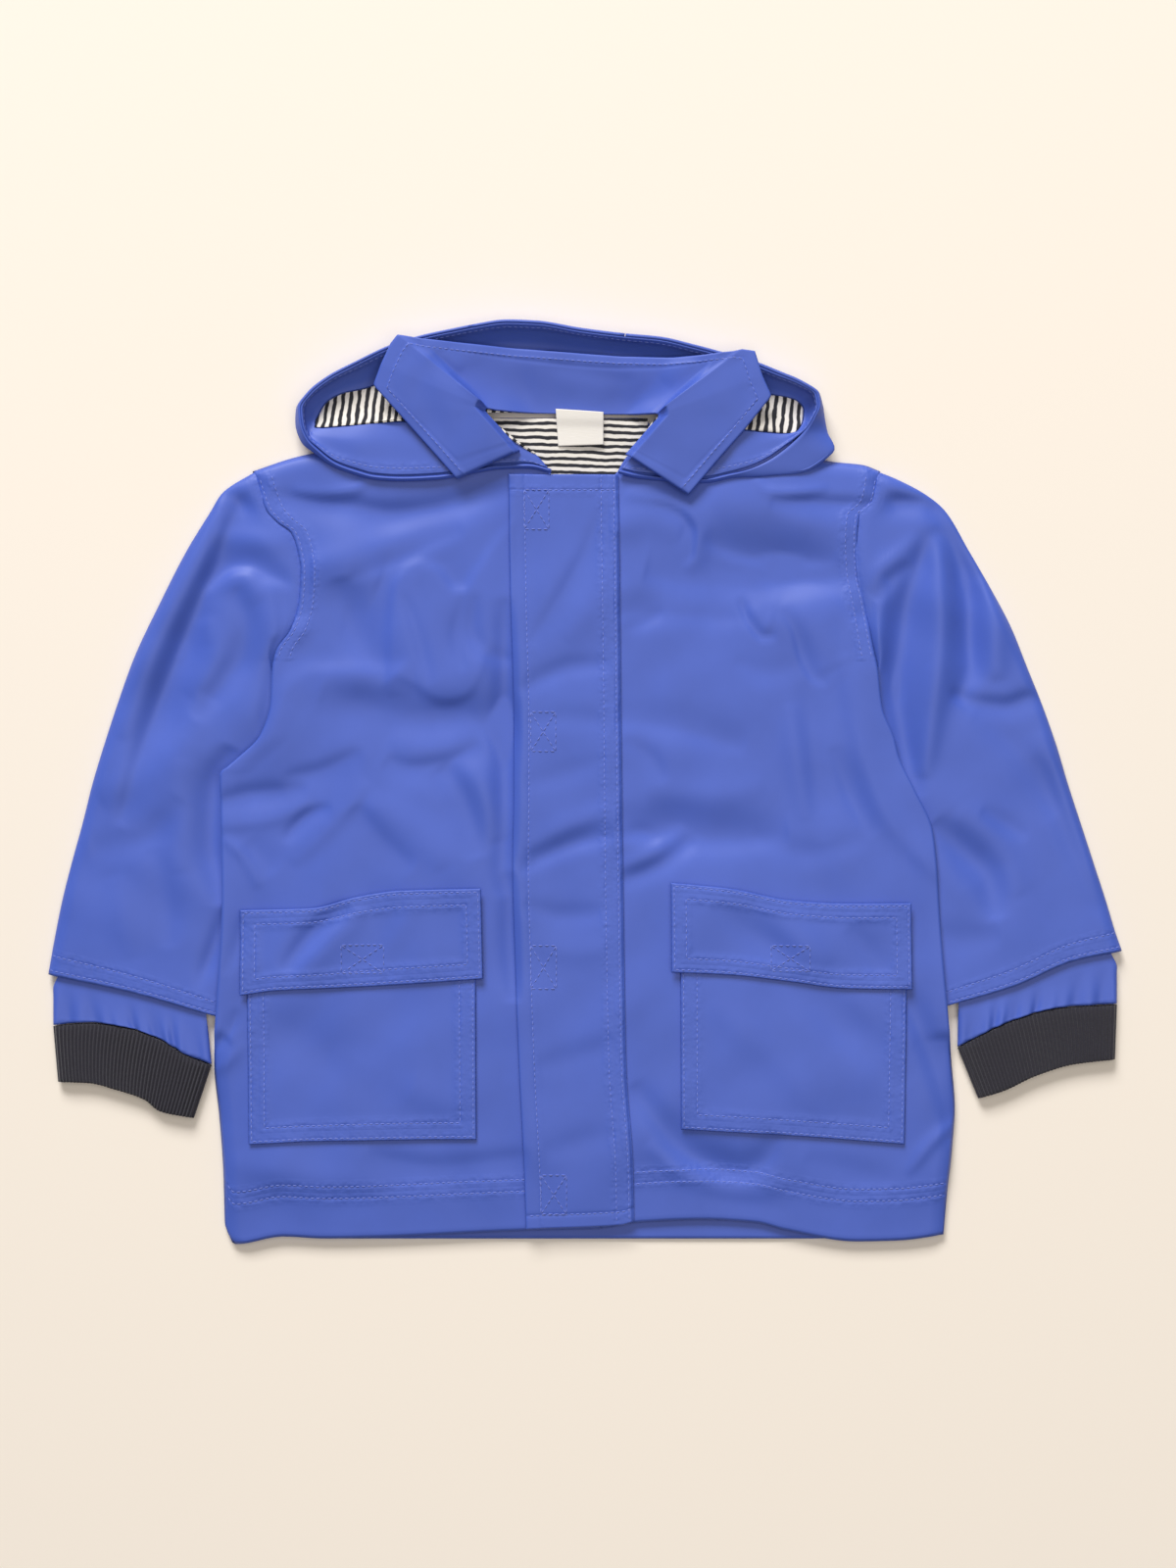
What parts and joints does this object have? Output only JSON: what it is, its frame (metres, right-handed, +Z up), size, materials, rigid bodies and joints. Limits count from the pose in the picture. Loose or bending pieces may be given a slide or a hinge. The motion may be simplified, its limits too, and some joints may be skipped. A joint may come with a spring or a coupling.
{
  "type": "kids raincoat laid flat",
  "caption": "Child's hooded raincoat laid flat on its back: coated shell, shirt collar, storm placket, flap pockets, inner sleeves with rib cuffs, striped lining.",
  "frame": {"origin": "middle of the coat's box, on the surface that it lies on", "axes": "+X across the coat to the wearer's left, +Y from hem to hood, +Z up from the surface, out of the coat's front"},
  "size_m": [0.549, 0.472, 0.0183],
  "materials": {
    "shell": "matte coated",
    "rib": "rib knit",
    "lining": "striped jersey",
    "label": "woven tape"
  },
  "bodies": {
    "root": {"back": "shell", "back_lining": "lining", "front_right": "shell", "front_left": "shell", "placket": "shell", "pocket_right": "shell", "pocket_left": "shell", "flap_right": "shell", "flap_left": "shell", "sleeve_right": "shell", "sleeve_left": "shell", "inner_sleeve_right": "shell", "inner_sleeve_left": "shell", "cuff_right": "rib", "cuff_left": "rib", "hood_right": "shell", "hood_centre": "shell", "hood_left": "shell", "hood_facing": "shell", "hood_lining": "lining", "collar": "shell", "label": "label"}
  },
  "joints": []
}
